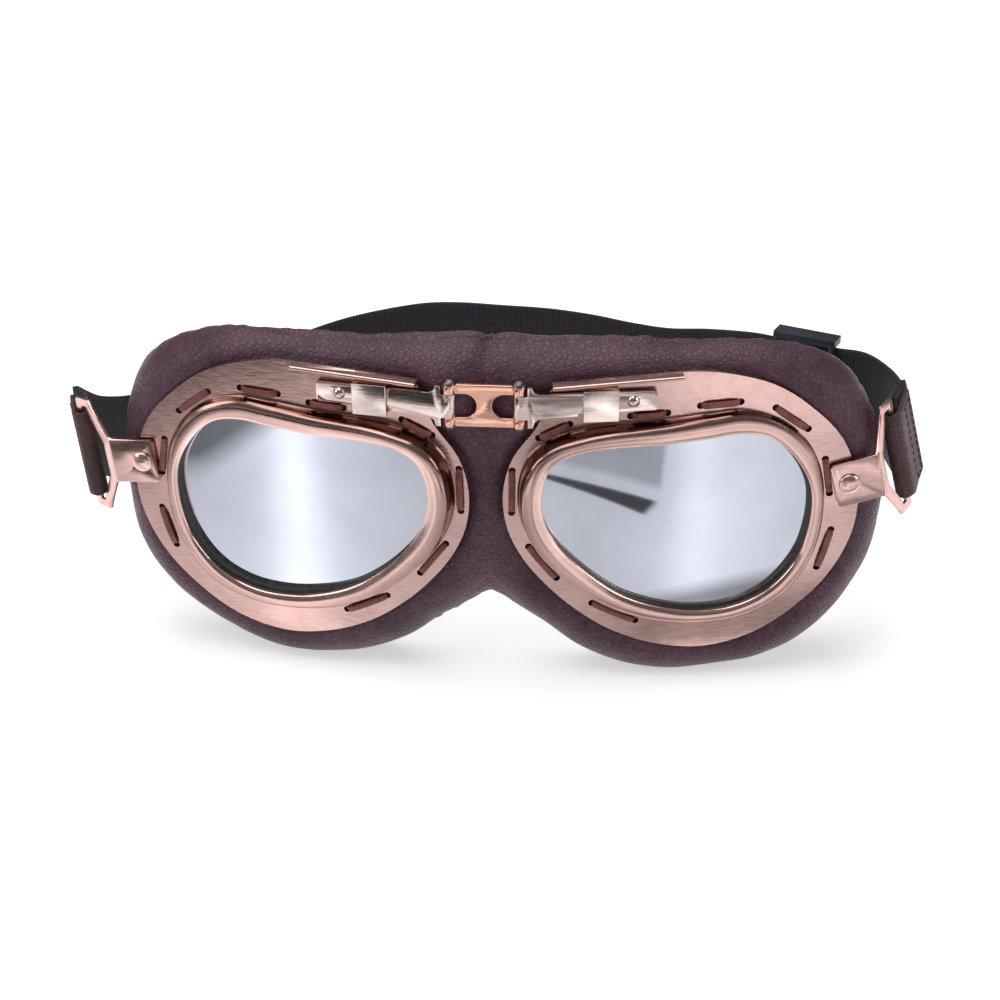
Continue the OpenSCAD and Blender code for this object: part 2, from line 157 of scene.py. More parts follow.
# ------------------------------------------------------------------ materials
class T:
    def __init__(s, name):
        s.m = bpy.data.materials.new(name); s.m.use_nodes = True; s.t = s.m.node_tree; s.b = s.t.nodes["Principled BSDF"]
        s.tc = s.t.nodes.new("ShaderNodeTexCoord"); s.obj = s.tc.outputs["Object"]; s.uv = s.tc.outputs["UV"]
    def n(s, kind, **k):
        o = s.t.nodes.new("ShaderNode"+kind)
        for a, v in k.items():
            if a == "ins":
                for i, x in v.items():
                    if hasattr(x, "links"): s.t.links.new(x, o.inputs[i])
                    else: o.inputs[i].default_value = x
            else: setattr(o, a, v)
        return o
    def link(s, a, b): s.t.links.new(a, b)
    def set(s, **k):
        for a, v in k.items(): s.b.inputs[a.replace("_", " ")].default_value = v
    def mapping(s, src, scale, rot=(0, 0, 0)):
        return s.n("Mapping", ins={"Vector": src, "Scale": scale, "Rotation": rot}).outputs[0]
    def noise(s, vec, scale, detail=4, rough=0.55, dist=0.0):
        return s.n("TexNoise", ins={"Vector": vec, "Scale": scale, "Detail": detail, "Roughness": rough, "Distortion": dist}).outputs["Fac"]
    def voronoi(s, vec, scale, feature="F1", rand=1.0):
        return s.n("TexVoronoi", feature=feature, ins={"Vector": vec, "Scale": scale, "Randomness": rand}).outputs["Distance"]
    def wave(s, vec, scale, dist=0.0, direction="X", profile="SIN"):
        return s.n("TexWave", bands_direction=direction, wave_profile=profile, ins={"Vector": vec, "Scale": scale, "Distortion": dist}).outputs["Fac"]
    def ramp(s, fac, stops):
        r = s.n("ValToRGB", ins={"Fac": fac}); e = r.color_ramp.elements
        while len(e) < len(stops): e.new(0.5)
        for x, (p, c) in zip(e, stops):
            x.position = p; x.color = (*c, 1) if len(c) == 3 else c
        return r.outputs["Color"]
    def rng(s, fac, a, b, lo, hi):
        return s.n("MapRange", ins={"Value": fac, "From Min": a, "From Max": b, "To Min": lo, "To Max": hi}).outputs[0]
    def math(s, op, a, b=0.0):
        return s.n("Math", operation=op, ins={0: a, 1: b}).outputs[0]
    def mix(s, fac, a, b, mode="MIX"):
        o = s.n("Mix", data_type="RGBA", blend_type=mode)
        for i, x in ((0, fac), (6, a), (7, b)):
            if hasattr(x, "links"): s.link(x, o.inputs[i])
            else: o.inputs[i].default_value = x if i == 0 else (*x, 1)
        return o.outputs[2]
    def bump(s, h, strength, dist, normal=None):
        ins = {"Height": h, "Strength": strength, "Distance": dist}
        if normal is not None: ins["Normal"] = normal
        return s.n("Bump", ins=ins).outputs[0]
    def col(s, c): s.link(c, s.b.inputs["Base Color"])
    def rough(s, r): s.link(r, s.b.inputs["Roughness"])
    def norm(s, x): s.link(x, s.b.inputs["Normal"])

def m_copper(name, hi, lo, rough=0.26, uv=False, patina=0.5, streak=(30, 900, 900)):
    t = T(name); t.set(Metallic=1.0, Anisotropic=0.35)
    src = t.uv if uv else t.obj
    st = t.noise(t.mapping(src, (40, 2600, 1) if uv else streak), 1.0, 3, 0.6)
    cloud = t.noise(t.obj, 90, 5, 0.6); spots = t.noise(t.obj, 420, 4, 0.6)
    base = t.mix(t.rng(cloud, 0.35, 0.7, 0, 1), lo, hi)
    base = t.mix(t.math("MULTIPLY", t.rng(spots, 0.55, 0.8, 0, 1), patina), base, tuple(x*0.35 for x in lo))
    # lighter and darker streaks along the brushing: the brushing's own tone, with the lighter streaks also a painted
    # streaky highlight
    base = t.mix(t.rng(st, 0.35, 0.72, 0, 0.4), base, tuple(min(1, x*1.2) for x in hi))
    base = t.mix(t.rng(st, 0.18, 0.42, 0.35 if uv else 0.10, 0), base, tuple(x*0.5 for x in lo))
    rg = t.math("ADD", t.rng(st, 0.3, 0.7, rough-0.04, rough+0.05), t.rng(spots, 0.5, 0.8, 0, 0.06))
    if uv:   # across the bezel: painted shade on the outer wall, a brushed crown that turns cream towards the opening as a painted highlight, and a polished ridge at the opening with a painted highlight in its colour
        v = t.n("SeparateXYZ", ins={0: t.uv}).outputs[1]
        # painted light: darker towards the outer wall, cream-bright on the inner slope towards the opening
        base = t.mix(t.math("MULTIPLY", t.rng(v, 0.0062, 0.0125, 0, 1), 0.8), t.mix(0.45, base, tuple(x*0.8 for x in lo)), t.mix(t.rng(st, 0.3, 0.7, 0, 1), hi, (0.95, 0.69, 0.60)))
        # painted shade: the low outer wall much darker
        base = t.mix(t.rng(v, 0.0042, 0.0072, 0.6, 0.0), base, tuple(x*0.4 for x in lo))
        # painted highlight: the ridge lighter in colour; its lower roughness is real polish
        ridge_polish_and_highlight = t.math("MULTIPLY", t.rng(v, 0.0118, 0.0132, 0, 1), t.rng(v, 0.0162, 0.0175, 1, 0))
        base = t.mix(t.math("MULTIPLY", ridge_polish_and_highlight, 0.75), base, tuple(min(1, x*1.3) for x in hi))
        rg = t.math("SUBTRACT", rg, t.math("MULTIPLY", ridge_polish_and_highlight, 0.13))
    t.col(base); t.rough(rg)
    t.norm(t.bump(st, 0.32, 0.00005, t.bump(cloud, 0.15, 0.0004)))
    return t.m
M_BEZEL = m_copper("antique_copper_bezel", (0.80, 0.515, 0.44), (0.40, 0.22, 0.19), 0.16, uv=True, patina=0.3)
M_FLANGE = m_copper("antique_copper_flange", (0.72, 0.475, 0.415), (0.55, 0.35, 0.31), 0.20, patina=0.10, streak=(14, 1900, 1900))
M_ARM = m_copper("arm_plating", (0.84, 0.69, 0.63), (0.68, 0.52, 0.47), 0.13, patina=0.12, streak=(12, 900, 1500))
M_HPLATE = m_copper("bridge_copper", (0.98, 0.55, 0.41), (0.88, 0.46, 0.33), 0.19, patina=0.12, streak=(12, 900, 1500))
M_BRACKET = m_copper("bracket_copper", (0.80, 0.52, 0.46), (0.60, 0.37, 0.33), 0.20, patina=0.12, streak=(14, 1900, 1900))
M_RIVET = m_copper("rivet_copper", (0.92, 0.64, 0.56), (0.76, 0.48, 0.41), 0.24, patina=0.15)
M_RIM = m_copper("rim_plating", (0.30, 0.24, 0.21), (0.20, 0.15, 0.13), 0.35)
def m_steel():
    t = T("dark_steel"); t.set(Metallic=1.0)
    s = t.noise(t.obj, 900, 4); t.col(t.ramp(s, [(0.3, (0.07, 0.06, 0.06)), (0.7, (0.22, 0.19, 0.18))])); t.rough(t.rng(s, 0.3, 0.7, 0.25, 0.42)); t.norm(t.bump(s, 0.2, 0.0001)); return t.m
M_STEEL = m_steel()
def m_leather(name, dark, light, grain=1150, rough=0.42, strength=0.55, sheen=0.15):
    t = T(name); t.set(Sheen_Weight=sheen, Sheen_Roughness=0.5, Coat_Weight=0.10, Coat_Roughness=0.35)
    t.b.inputs["Specular IOR Level"].default_value = 0.36
    warp = t.n("VectorMath", operation="ADD", ins={0: t.obj, 1: t.n("VectorMath", operation="SCALE", ins={0: t.n("TexNoise", ins={"Vector": t.obj, "Scale": 500.0, "Detail": 2.0}).outputs["Color"], "Scale": 0.0009}).outputs[0]}).outputs[0]
    cell = t.voronoi(warp, grain, "SMOOTH_F1"); crease = t.n("TexVoronoi", feature="DISTANCE_TO_EDGE", ins={"Vector": warp, "Scale": grain*0.62}).outputs["Distance"]
    big = t.noise(t.obj, 70, 4, 0.6); mid = t.noise(t.obj, 330, 4, 0.6); fine = t.noise(t.obj, 4200, 3, 0.6)
    base = t.ramp(t.math("ADD", t.math("MULTIPLY", big, 0.6), t.math("MULTIPLY", mid, 0.4)), [(0.36, dark), (0.64, light)])
    # painted shade: the grain's creases are darkened in colour, on top of their bump
    base = t.mix(t.rng(crease, 0.0, 0.16, 0.55, 0.0), base, tuple(x*0.45 for x in dark))
    t.col(base)
    t.rough(t.math("ADD", t.rng(mid, 0.3, 0.7, rough-0.07, rough+0.1), t.rng(crease, 0, 0.15, 0.15, 0)))
    h = t.math("ADD", t.math("MULTIPLY", t.rng(crease, 0.0, 0.22, 0, 1), 0.8), t.math("SUBTRACT", t.math("MULTIPLY", fine, 0.12), t.math("MULTIPLY", cell, 0.5)))
    t.norm(t.bump(h, strength, 0.00028, t.bump(mid, 0.3, 0.0008)))
    return t.m
M_LEATHER = m_leather("pad_leather_grain", (0.042, 0.013, 0.024), (0.110, 0.038, 0.062), sheen=0.06)
M_TAB = m_leather("tab_leather_grain", (0.040, 0.014, 0.015), (0.092, 0.034, 0.034), 1500, 0.5, sheen=0.05)
M_LACE = m_leather("lace_leather_grain", (0.13, 0.030, 0.024), (0.30, 0.095, 0.070), 2600, 0.30, 0.35, 0.05)
def m_cloth():
    t = T("face_velour"); t.set(Sheen_Weight=0.5, Sheen_Roughness=0.4, Roughness=0.95)
    f = t.noise(t.obj, 2600, 4, 0.7); g = t.noise(t.obj, 160, 4)
    t.col(t.ramp(t.math("ADD", t.math("MULTIPLY", f, 0.6), t.math("MULTIPLY", g, 0.4)), [(0.35, (0.008, 0.007, 0.009)), (0.68, (0.045, 0.038, 0.042))]))
    t.norm(t.bump(f, 0.7, 0.0006)); return t.m
M_CLOTH = m_cloth()
def m_elastic():
    t = T("woven_elastic"); t.set(Roughness=0.75, Sheen_Weight=0.12, Sheen_Roughness=0.4); t.b.inputs["Specular IOR Level"].default_value = 0.3
    rib = t.wave(t.mapping(t.uv, (1, 1, 1)), 330, 0.4, "X"); warp = t.wave(t.mapping(t.uv, (1, 1, 1)), 420, 0.3, "Y"); nz = t.noise(t.obj, 1800, 3)
    h = t.math("ADD", t.math("MULTIPLY", rib, 0.6), t.math("ADD", t.math("MULTIPLY", warp, 0.5), t.math("MULTIPLY", nz, 0.25)))
    t.col(t.ramp(h, [(0.2, (0.003, 0.003, 0.004)), (0.95, (0.024, 0.021, 0.028))])); t.rough(t.rng(h, 0, 1.3, 0.85, 0.6)); t.norm(t.bump(h, 0.6, 0.00022)); return t.m
M_ELASTIC = m_elastic()
def m_plastic():
    t = T("buckle_plastic_moulded"); s = t.noise(t.obj, 1500, 3); t.set(Coat_Weight=0.08, Coat_Roughness=0.25)
    t.col(t.ramp(t.noise(t.obj, 120, 3), [(0.3, (0.006, 0.008, 0.014)), (0.7, (0.018, 0.022, 0.036))])); t.rough(t.rng(s, 0.3, 0.7, 0.36, 0.5)); t.norm(t.bump(s, 0.15, 0.00008)); return t.m
M_PLASTIC = m_plastic()
def m_rubber():
    t = T("gasket_rubber_black"); s = t.noise(t.obj, 700, 4); t.set(Coat_Weight=0.25, Coat_Roughness=0.25)
    t.col(t.ramp(s, [(0.3, (0.006, 0.007, 0.009)), (0.7, (0.022, 0.025, 0.030))])); t.rough(t.rng(s, 0.3, 0.7, 0.3, 0.5)); t.norm(t.bump(s, 0.15, 0.0002)); return t.m
M_RUBBER = m_rubber()
def m_mirror():
    t = T("silver_mirror_lens"); t.set(Metallic=1.0, Coat_Weight=0.5, Coat_Roughness=0.02)
    s = t.noise(t.obj, 60, 3); fine = t.noise(t.obj, 2500, 3)
    t.col(t.ramp(s, [(0.35, (0.60, 0.62, 0.68)), (0.65, (0.66, 0.68, 0.74))])); t.rough(t.rng(fine, 0.3, 0.7, 0.03, 0.045)); return t.m
M_MIRROR = m_mirror()
def m_thread():
    t = T("stitch_thread"); s = t.noise(t.obj, 3000, 3); t.col(t.ramp(s, [(0.3, (0.03, 0.013, 0.011)), (0.7, (0.10, 0.05, 0.04))])); t.set(Roughness=0.7); t.norm(t.bump(s, 0.5, 0.0002)); return t.m
M_THREAD = m_thread()

# ------------------------------------------------------------------ CAD nodes that stay: weld, soften edges, finish
def finish_cad(node, mat, w, seg=2, angle=35, flat=False):
    o = frame["nodes"][node]; o.data.materials.clear(); o.data.materials.append(mat)
    o.data.polygons.foreach_set("use_smooth", [True]*len(o.data.polygons))
    k = o.modifiers.new("weld", "WELD"); k.merge_threshold = 1e-6
    f = o.modifiers.new("flat", "DECIMATE"); f.decimate_type = "DISSOLVE"; f.angle_limit = math.radians(0.6)
    b = o.modifiers.new("bevel", "BEVEL"); b.width = w*MM; b.segments = seg; b.limit_method = "ANGLE"; b.angle_limit = math.radians(angle); b.harden_normals = not flat
    b.use_clamp_overlap = True
    if flat: n = o.modifiers.new("wn", "WEIGHTED_NORMAL"); n.keep_sharp = False; n.weight = 100
    return o
for s in ("left", "right"):
    finish_cad(f"{s}_flange", M_FLANGE, 0.2, flat=True)
    finish_cad(f"{s}_keeper", M_ARM, 0.6, 4)
    finish_cad(f"{s}_arm_bar", M_ARM, 0.2)
    finish_cad(f"{s}_hinge_pin", M_STEEL, 0.12)
    finish_cad(f"{s}_rivet", M_RIVET, 0.15)
    finish_cad(f"{s}_bracket_plate", M_BRACKET, 0.22)
    finish_cad(f"{s}_inner_rim", M_RIM, 0.2)
finish_cad("bridge_plate", M_HPLATE, 0.18)
finish_cad("adjuster", M_PLASTIC, 0.85, 5)

# ------------------------------------------------------------------ bezel, gasket, lens
def make_bezel(side, nm):
    N = len(foot_c); e = open_c-foot_c; w = np.linalg.norm(e, axis=1); e /= w[:, None]
    D = crown(foot_c[:, 0]); J = crown(open_c[:, 0]); one = np.ones(N)
    top = np.maximum(D-0.8, 0.2)  # wall height above the flange
    prof = [(-0.32*one, 0.80*one), (-0.12*one, 0.80+0.10*top/2), (0.02*one, 0.8+0.22*top), (0.14*one, 0.8+0.5*top), (0.26*one, 0.8+0.72*top),
            (0.42*one, D-0.85), (0.62*one, D-0.5), (w*0.20+0.1, D-0.24), (w*0.30+0.1, D-0.08), (w*0.45, D), (w*0.6, D-0.04), (w*0.75, J-0.16),
            (w*0.87, J-0.34), (w*0.94, J-0.55), (w*0.99, J-0.62), (w*1.03, J-0.78), (w*1.04, J-1.0), (w*1.02, J-1.4), (w*1.0, J-2.1),
            (np.maximum(1.6, w*0.45), J-2.15), (1.1*one, 0.80*one)]
    for i in (5, 6):  # low walls keep their order
        q, d = prof[i]; prof[i] = (q, np.maximum(d, 0.8+0.75*top+0.05*(i-5)))
    G = np.zeros((N, len(prof), 3))
    for j, (q, d) in enumerate(prof):
        p = foot_c+e*q[:, None]; G[:, j] = cup(p[:, 0], -d, p[:, 1])
    L = np.concatenate([[0], np.cumsum(np.linalg.norm(np.diff(foot_c, axis=0), axis=1))])*MM
    uv = np.zeros((N, len(prof), 2)); uv[..., 0] = L[:, None]
    for j in range(len(prof)):
        uv[:, j, 1] = j*0.001
    o = grid_obj(f"{nm}_bezel_ring", G, M_BEZEL, True, True, side, flip=True, uv=uv, angle=50)
    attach(o, f"{nm}_eye"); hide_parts(f"{nm}_bezel")
def tilt_pt(u, w, v):
    a = math.atan(0.052); return cup(u*math.cos(a)-w*math.sin(a), u*math.sin(a)+w*math.cos(a)-4.7, v)
def make_lens(side, nm):
    C = grow(open_c, 0.9); c0 = np.array([3.0, -9.0]); N = len(C)
    ks = [0, 0.12, 0.25, 0.4, 0.55, 0.68, 0.8, 0.9, 0.97, 1.0]
    sag = lambda P: ((P[:, 0]-3)**2/520+(P[:, 1]+9)**2/900)
    G = np.zeros((len(ks)*2, N, 3))
    for i, k in enumerate(ks):
        p = c0+(C-c0)*max(k, 0.004); s = sag(p)
        G[i] = tilt_pt(p[:, 0], 3.15+s*0.28-0.45, p[:, 1])
        G[len(ks)*2-1-i] = tilt_pt(p[:, 0], 3.15+s*0.28-0.45+1.5, p[:, 1])
    o = grid_obj(f"{nm}_mirror_lens", G, M_MIRROR, True, True, side, flip=True, angle=40)
    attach(o, f"{nm}_eye"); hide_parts(f"{nm}_lens")
def make_gasket(side, nm):
    N = len(open_c); n = -normals2(open_c); ang = np.arctan2(open_c[:, 1]+9, open_c[:, 0]-3)
    # the black rubber rim is widest towards one lower side of each lens, at a different angle on each: a real rim,
    # widened there into a dark band where the lens recess lies in shade
    k = 0.5+0.5*np.cos(ang-math.radians(-66 if side < 0 else -30)); wd = 0.12+(2.7 if side < 0 else 1.1)*k**(3.0 if side < 0 else 2.0)
    J = crown(open_c[:, 0])
    pr = [(0.6, 1.9), (-0.05, 2.0), (0.12, 2.25), (0.45, 2.35), (0.8, 2.6), (1.0, 2.95), (1.0, 3.25), (0.0, 3.4), (-0.7, 3.2), (-0.8, 2.3)]
    G = np.zeros((N, len(pr), 3))
    for j, (q, d) in enumerate(pr):
        qq = q*wd if q > 0 else q*np.ones(N)
        if j == 0: qq = -0.6*np.ones(N)
        p = open_c+n*qq[:, None]; G[:, j] = cup(p[:, 0], -(crown(p[:, 0])-d), p[:, 1])
    o = grid_obj(f"{nm}_lens_gasket", G, M_RUBBER, True, True, side, flip=True, angle=45)
    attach(o, f"{nm}_eye"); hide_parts(f"{nm}_gasket")

# ------------------------------------------------------------------ lacing
def tube(path, up, wid, thk, n=10):
    path = np.array(path, float); K = len(path); G = np.zeros((K, n, 3)); up = np.array(up, float)
    for i in range(K):
        d = path[min(K-1, i+1)]-path[max(0, i-1)]; d /= np.linalg.norm(d); s = np.cross(d, up); s /= np.linalg.norm(s); b = np.cross(s, d)
        for j in range(n):
            a = 2*math.pi*(j+0.5)/n; c_, s_ = math.cos(a), math.sin(a)
            G[i, j] = path[i]+s*wid/2*np.sign(c_)*abs(c_)**0.6+b*thk/2*np.sign(s_)*abs(s_)**0.75
    return G
def make_lacing(side, nm):
    Vs, Fs = [], []; off = 0
    for k, (p, q) in enumerate(LACE):
        p, q = np.array(p), np.array(q); L = np.linalg.norm(q-p); d = (q-p)/L
        top, hump = (1.13, 0.0) if k == 4 else (1.34, 0.2)   # the strip beside the rivet lies flat, under the bracket
        pts = []
        for t, h in [(0.42, -1.2), (0.44, -0.4), (0.48, 0.6), (0.85, top-0.16), (1.5, top)]: pts.append((p+d*t, h))
        for f in np.linspace(0.2, 0.8, 7): pts.append((p+d*L*f, top+hump*math.sin(math.pi*f)+hump*0.25*math.sin(9*f+k)))
        for t, h in [(1.5, top), (0.85, top-0.16), (0.48, 0.6), (0.44, -0.4), (0.42, -1.2)]: pts.append((q-d*t, h))
        wob = 0.12*math.sin(3.1*k+side)
        path = [cup(a[0], -h, a[1]+wob*math.sin(math.pi*i/(len(pts)-1))) for i, (a, h) in enumerate(pts)]
        path = run(path, 3); dd = cup(q[0], 0, q[1])-cup(p[0], 0, p[1]); dd /= np.linalg.norm(dd)
        G = np.zeros((len(path), 12, 3)); K = len(path); sv = np.cross(dd, cup(0, -1, 0)-cup(0, 0, 0)); sv /= np.linalg.norm(sv)
        for i in range(K):
            t = path[min(K-1, i+1)]-path[max(0, i-1)]; t /= np.linalg.norm(t); b = np.cross(sv, t); f = min(i, K-1-i)/6
            wv = 1.25+0.4*min(1, f)+0.05*math.sin(5*i+k)
            for j in range(12):
                a = 2*math.pi*(j+0.5)/12; c_, s_ = math.cos(a), math.sin(a)
                G[i, j] = path[i]+sv*wv/2*np.sign(c_)*abs(c_)**0.55+b*0.31*np.sign(s_)*abs(s_)**0.7
        V = world(G, side).reshape(-1, 3); F = grid_faces(K, 12, False, True, side > 0)
        F += [tuple(range(12)) if side > 0 else tuple(range(12))[::-1], tuple((K-1)*12+j for j in range(12))[::-1] if side > 0 else tuple((K-1)*12+j for j in range(12))]
        Vs.append(V); Fs += [tuple(x+off for x in f) for f in F]; off += len(V)
    o = mesh_obj(f"{nm}_lace_strips", np.concatenate(Vs), Fs, M_LACE, angle=60)
    bm = bmesh.new(); bm.from_mesh(o.data); bmesh.ops.recalc_face_normals(bm, faces=bm.faces); bm.to_mesh(o.data); bm.free()
    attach(o, f"{nm}_eye"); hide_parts(f"{nm}_lacing")

# ------------------------------------------------------------------ pad
PC = np.array([EX, -8.0])
hole_xz = np.stack([EX+grow(foot_c, -1.2)[:, 0]*CW, grow(foot_c, -1.2)[:, 1]], 1)
edge_xz = np.stack([EX+edge_c[:, 0]*CW, edge_c[:, 1]], 1)
half = np.array([p for p in pad_c if p[0] > 0.05])
i0 = np.argmin(np.where((pad_c[:, 0] < 0.06) & (pad_c[:, 1] > 0), abs(pad_c[:, 1]-36), 99)); i1 = np.argmin(np.where((pad_c[:, 0] < 0.06) & (pad_c[:, 1] < 0), abs(pad_c[:, 1]+34.5), 99))
# outline of the right half from the nose bottom round to the nose top, and the whole figure of eight
seq = np.concatenate([pad_c[i1:], pad_c[:i0+1]]); seq[:, 0] = np.maximum(seq[:, 0], 0)
full_xz = np.concatenate([seq, (seq*[-1, 1])[::-1][1:-1]])
def face_y(x):
    f = (x-EX)*math.tan(WRAP)+0.05; k = 1.2; return np.where(True, 0.5*(f-3.3+np.sqrt((f+3.3)**2+k)), 0)
def back_y(x): return 14+22*(x/96)**2
RHO, RB = 9.5, 5.0
# how far the rim stands out of the plain outline, mm, by direction from the eye centre: at the front and at the back
PUFF_A = [0, 15, 30, 45, 60, 75, 90, 105, 120, 135, 150, 210, 225, 240, 255, 270, 285, 300, 315, 330, 345, 360]
PUFF = {1: ([1.6, 0, -1.5, -2, -2, -1.2, -1, -1, -1, -2.2, -2.2, -1.8, -1.8, -1, -0.5, -0.2, 0, 1.8, 3.8, 3.6, 2.5, 1.6],
            [0, -2, -6, -9, -9, -5, -2.5, -1.8, -1.3, -2.2, -2.2, -1.2, -1.2, -0.8, -0.5, -0.5, 0, 1.5, 2.5, 2.5, 2, 0]),
        -1: ([-0.4, -1.2, -2, -2.2, -1.5, -1.5, -1.5, -1.5, -1, -2.2, -2.2, -1.8, -1.8, -1, -1.4, -1.2, -0.4, -0.1, 0.2, 1.4, 1.8, -0.4],
             [-1, -2.5, -4.5, -7.5, -6, -4, -3, -3, -1.3, -2.2, -2.2, -1.2, -1.2, -0.8, -0.5, -0.5, 0, 0, 0, 1, 1, -1])}
def swell(side, k, a):
    x = np.degrees(a) % 360; t = PUFF[side][k]
    return sum(np.interp((x+o) % 360, PUFF_A, t) for o in (-6, -3, 0, 3, 6))/5
def rim(side):
    d = seq-PC; r = np.linalg.norm(d, axis=1); a = np.arctan2(d[:, 1], d[:, 0]); q = PC+d/r[:, None]*(r+swell(side, 0, a))[:, None]
    q[seq[:, 0] < 0.05, 0] = 0; q[:, 0] = np.maximum(q[:, 0], 0); return q
def pad_half(side):
    sq = rim(side); top, low = sq[-1, 1], sq[0, 1]; both = np.concatenate([sq, (sq*[-1, 1])[::-1][1:-1]])
    NA = 288; A = np.arange(NA)*2*math.pi/NA
    A = np.sort(np.concatenate([A]))
    ri = np.array([reach(hole_xz, PC, a) for a in A]); rp = np.array([reach(sq, PC, a) for a in A])
    U = np.stack([np.cos(A), np.sin(A)], 1)
    # front: from the eye opening to the rim
    k1 = 1-(1-np.linspace(0, 1, 40))**1.55
    P = PC+U[:, None]*(ri[:, None]+(rp-ri)[:, None]*k1)[..., None]     # NA,40,2
    fl = P.reshape(-1, 2); d = seg_dist(fl, both).reshape(NA, -1); de = seg_dist(fl, edge_xz).reshape(NA, -1); ins = inside(fl, edge_xz).reshape(NA, -1)
    nose_line = (P[:, -1, 0] < 0.02)
    d[~nose_line, -1] = 0
    dd = np.clip(d, 0, RHO); H = RHO-np.sqrt(np.maximum(RHO**2-(RHO-dd)**2, 0))
    out = np.where(ins, 0, de); puff = -1.5*np.sin(math.pi*np.clip(out/11, 0, 1))**0.8*np.clip(dd/RHO, 0, 1)**0.5
    y = face_y(P[..., 0])+0.12+H*0.95+puff
    front = np.stack([P[..., 0], y, EZ+P[..., 1]], -1)
    # side wall and rolled back edge, at the rim
    R = P[:, -1]; n = np.stack([np.cos(A), np.sin(A)], 1); yF = y[:, -1]; yB = back_y(R[:, 0])-RB
    rows = [front]; wall = []; off = np.where(nose_line, 0, 1); taper = swell(side, 1, A)-swell(side, 0, A)
    for t in np.linspace(0, 1, 14)[1:]:
        b = 1.1*math.sin(math.pi*t)+taper*t                           # the foam bulges the wall a little
        q = R+n*(b*off)[:, None]; wall.append(np.stack([np.maximum(q[:, 0], 0), yF+(yB-yF)*t, EZ+q[:, 1]], -1))
    for ph in np.linspace(0, math.pi/2, 7)[1:]:
        q = R+n*((taper-RB*(1-math.cos(ph)))*off)[:, None]; wall.append(np.stack([np.maximum(q[:, 0], 0), yB+RB*math.sin(ph), EZ+q[:, 1]], -1))
    for t in (1.5, 3.0):
        q = R+n*((taper-RB-t)*off)[:, None]; q[:, 0] = np.maximum(q[:, 0], 0); wall.append(np.stack([q[:, 0], back_y(q[:, 0])-0.35*t/3, EZ+q[:, 1]], -1))
    wall = np.stack(wall, 1)
    G = np.concatenate([front, wall], 1)
    return A, U, ri, R, nose_line, G
def shape_noise(G, side, amp=1.0):
    # soft unevenness of the stuffed skin, keeping the mirror line and the laced edge in place
    Q = G*[side, 1, 1]
    n = vnoise(Q, 26, 1)*1.0+vnoise(Q, 13, 2)*0.55+vnoise(Q, 6, 3)*0.2
    return n*amp
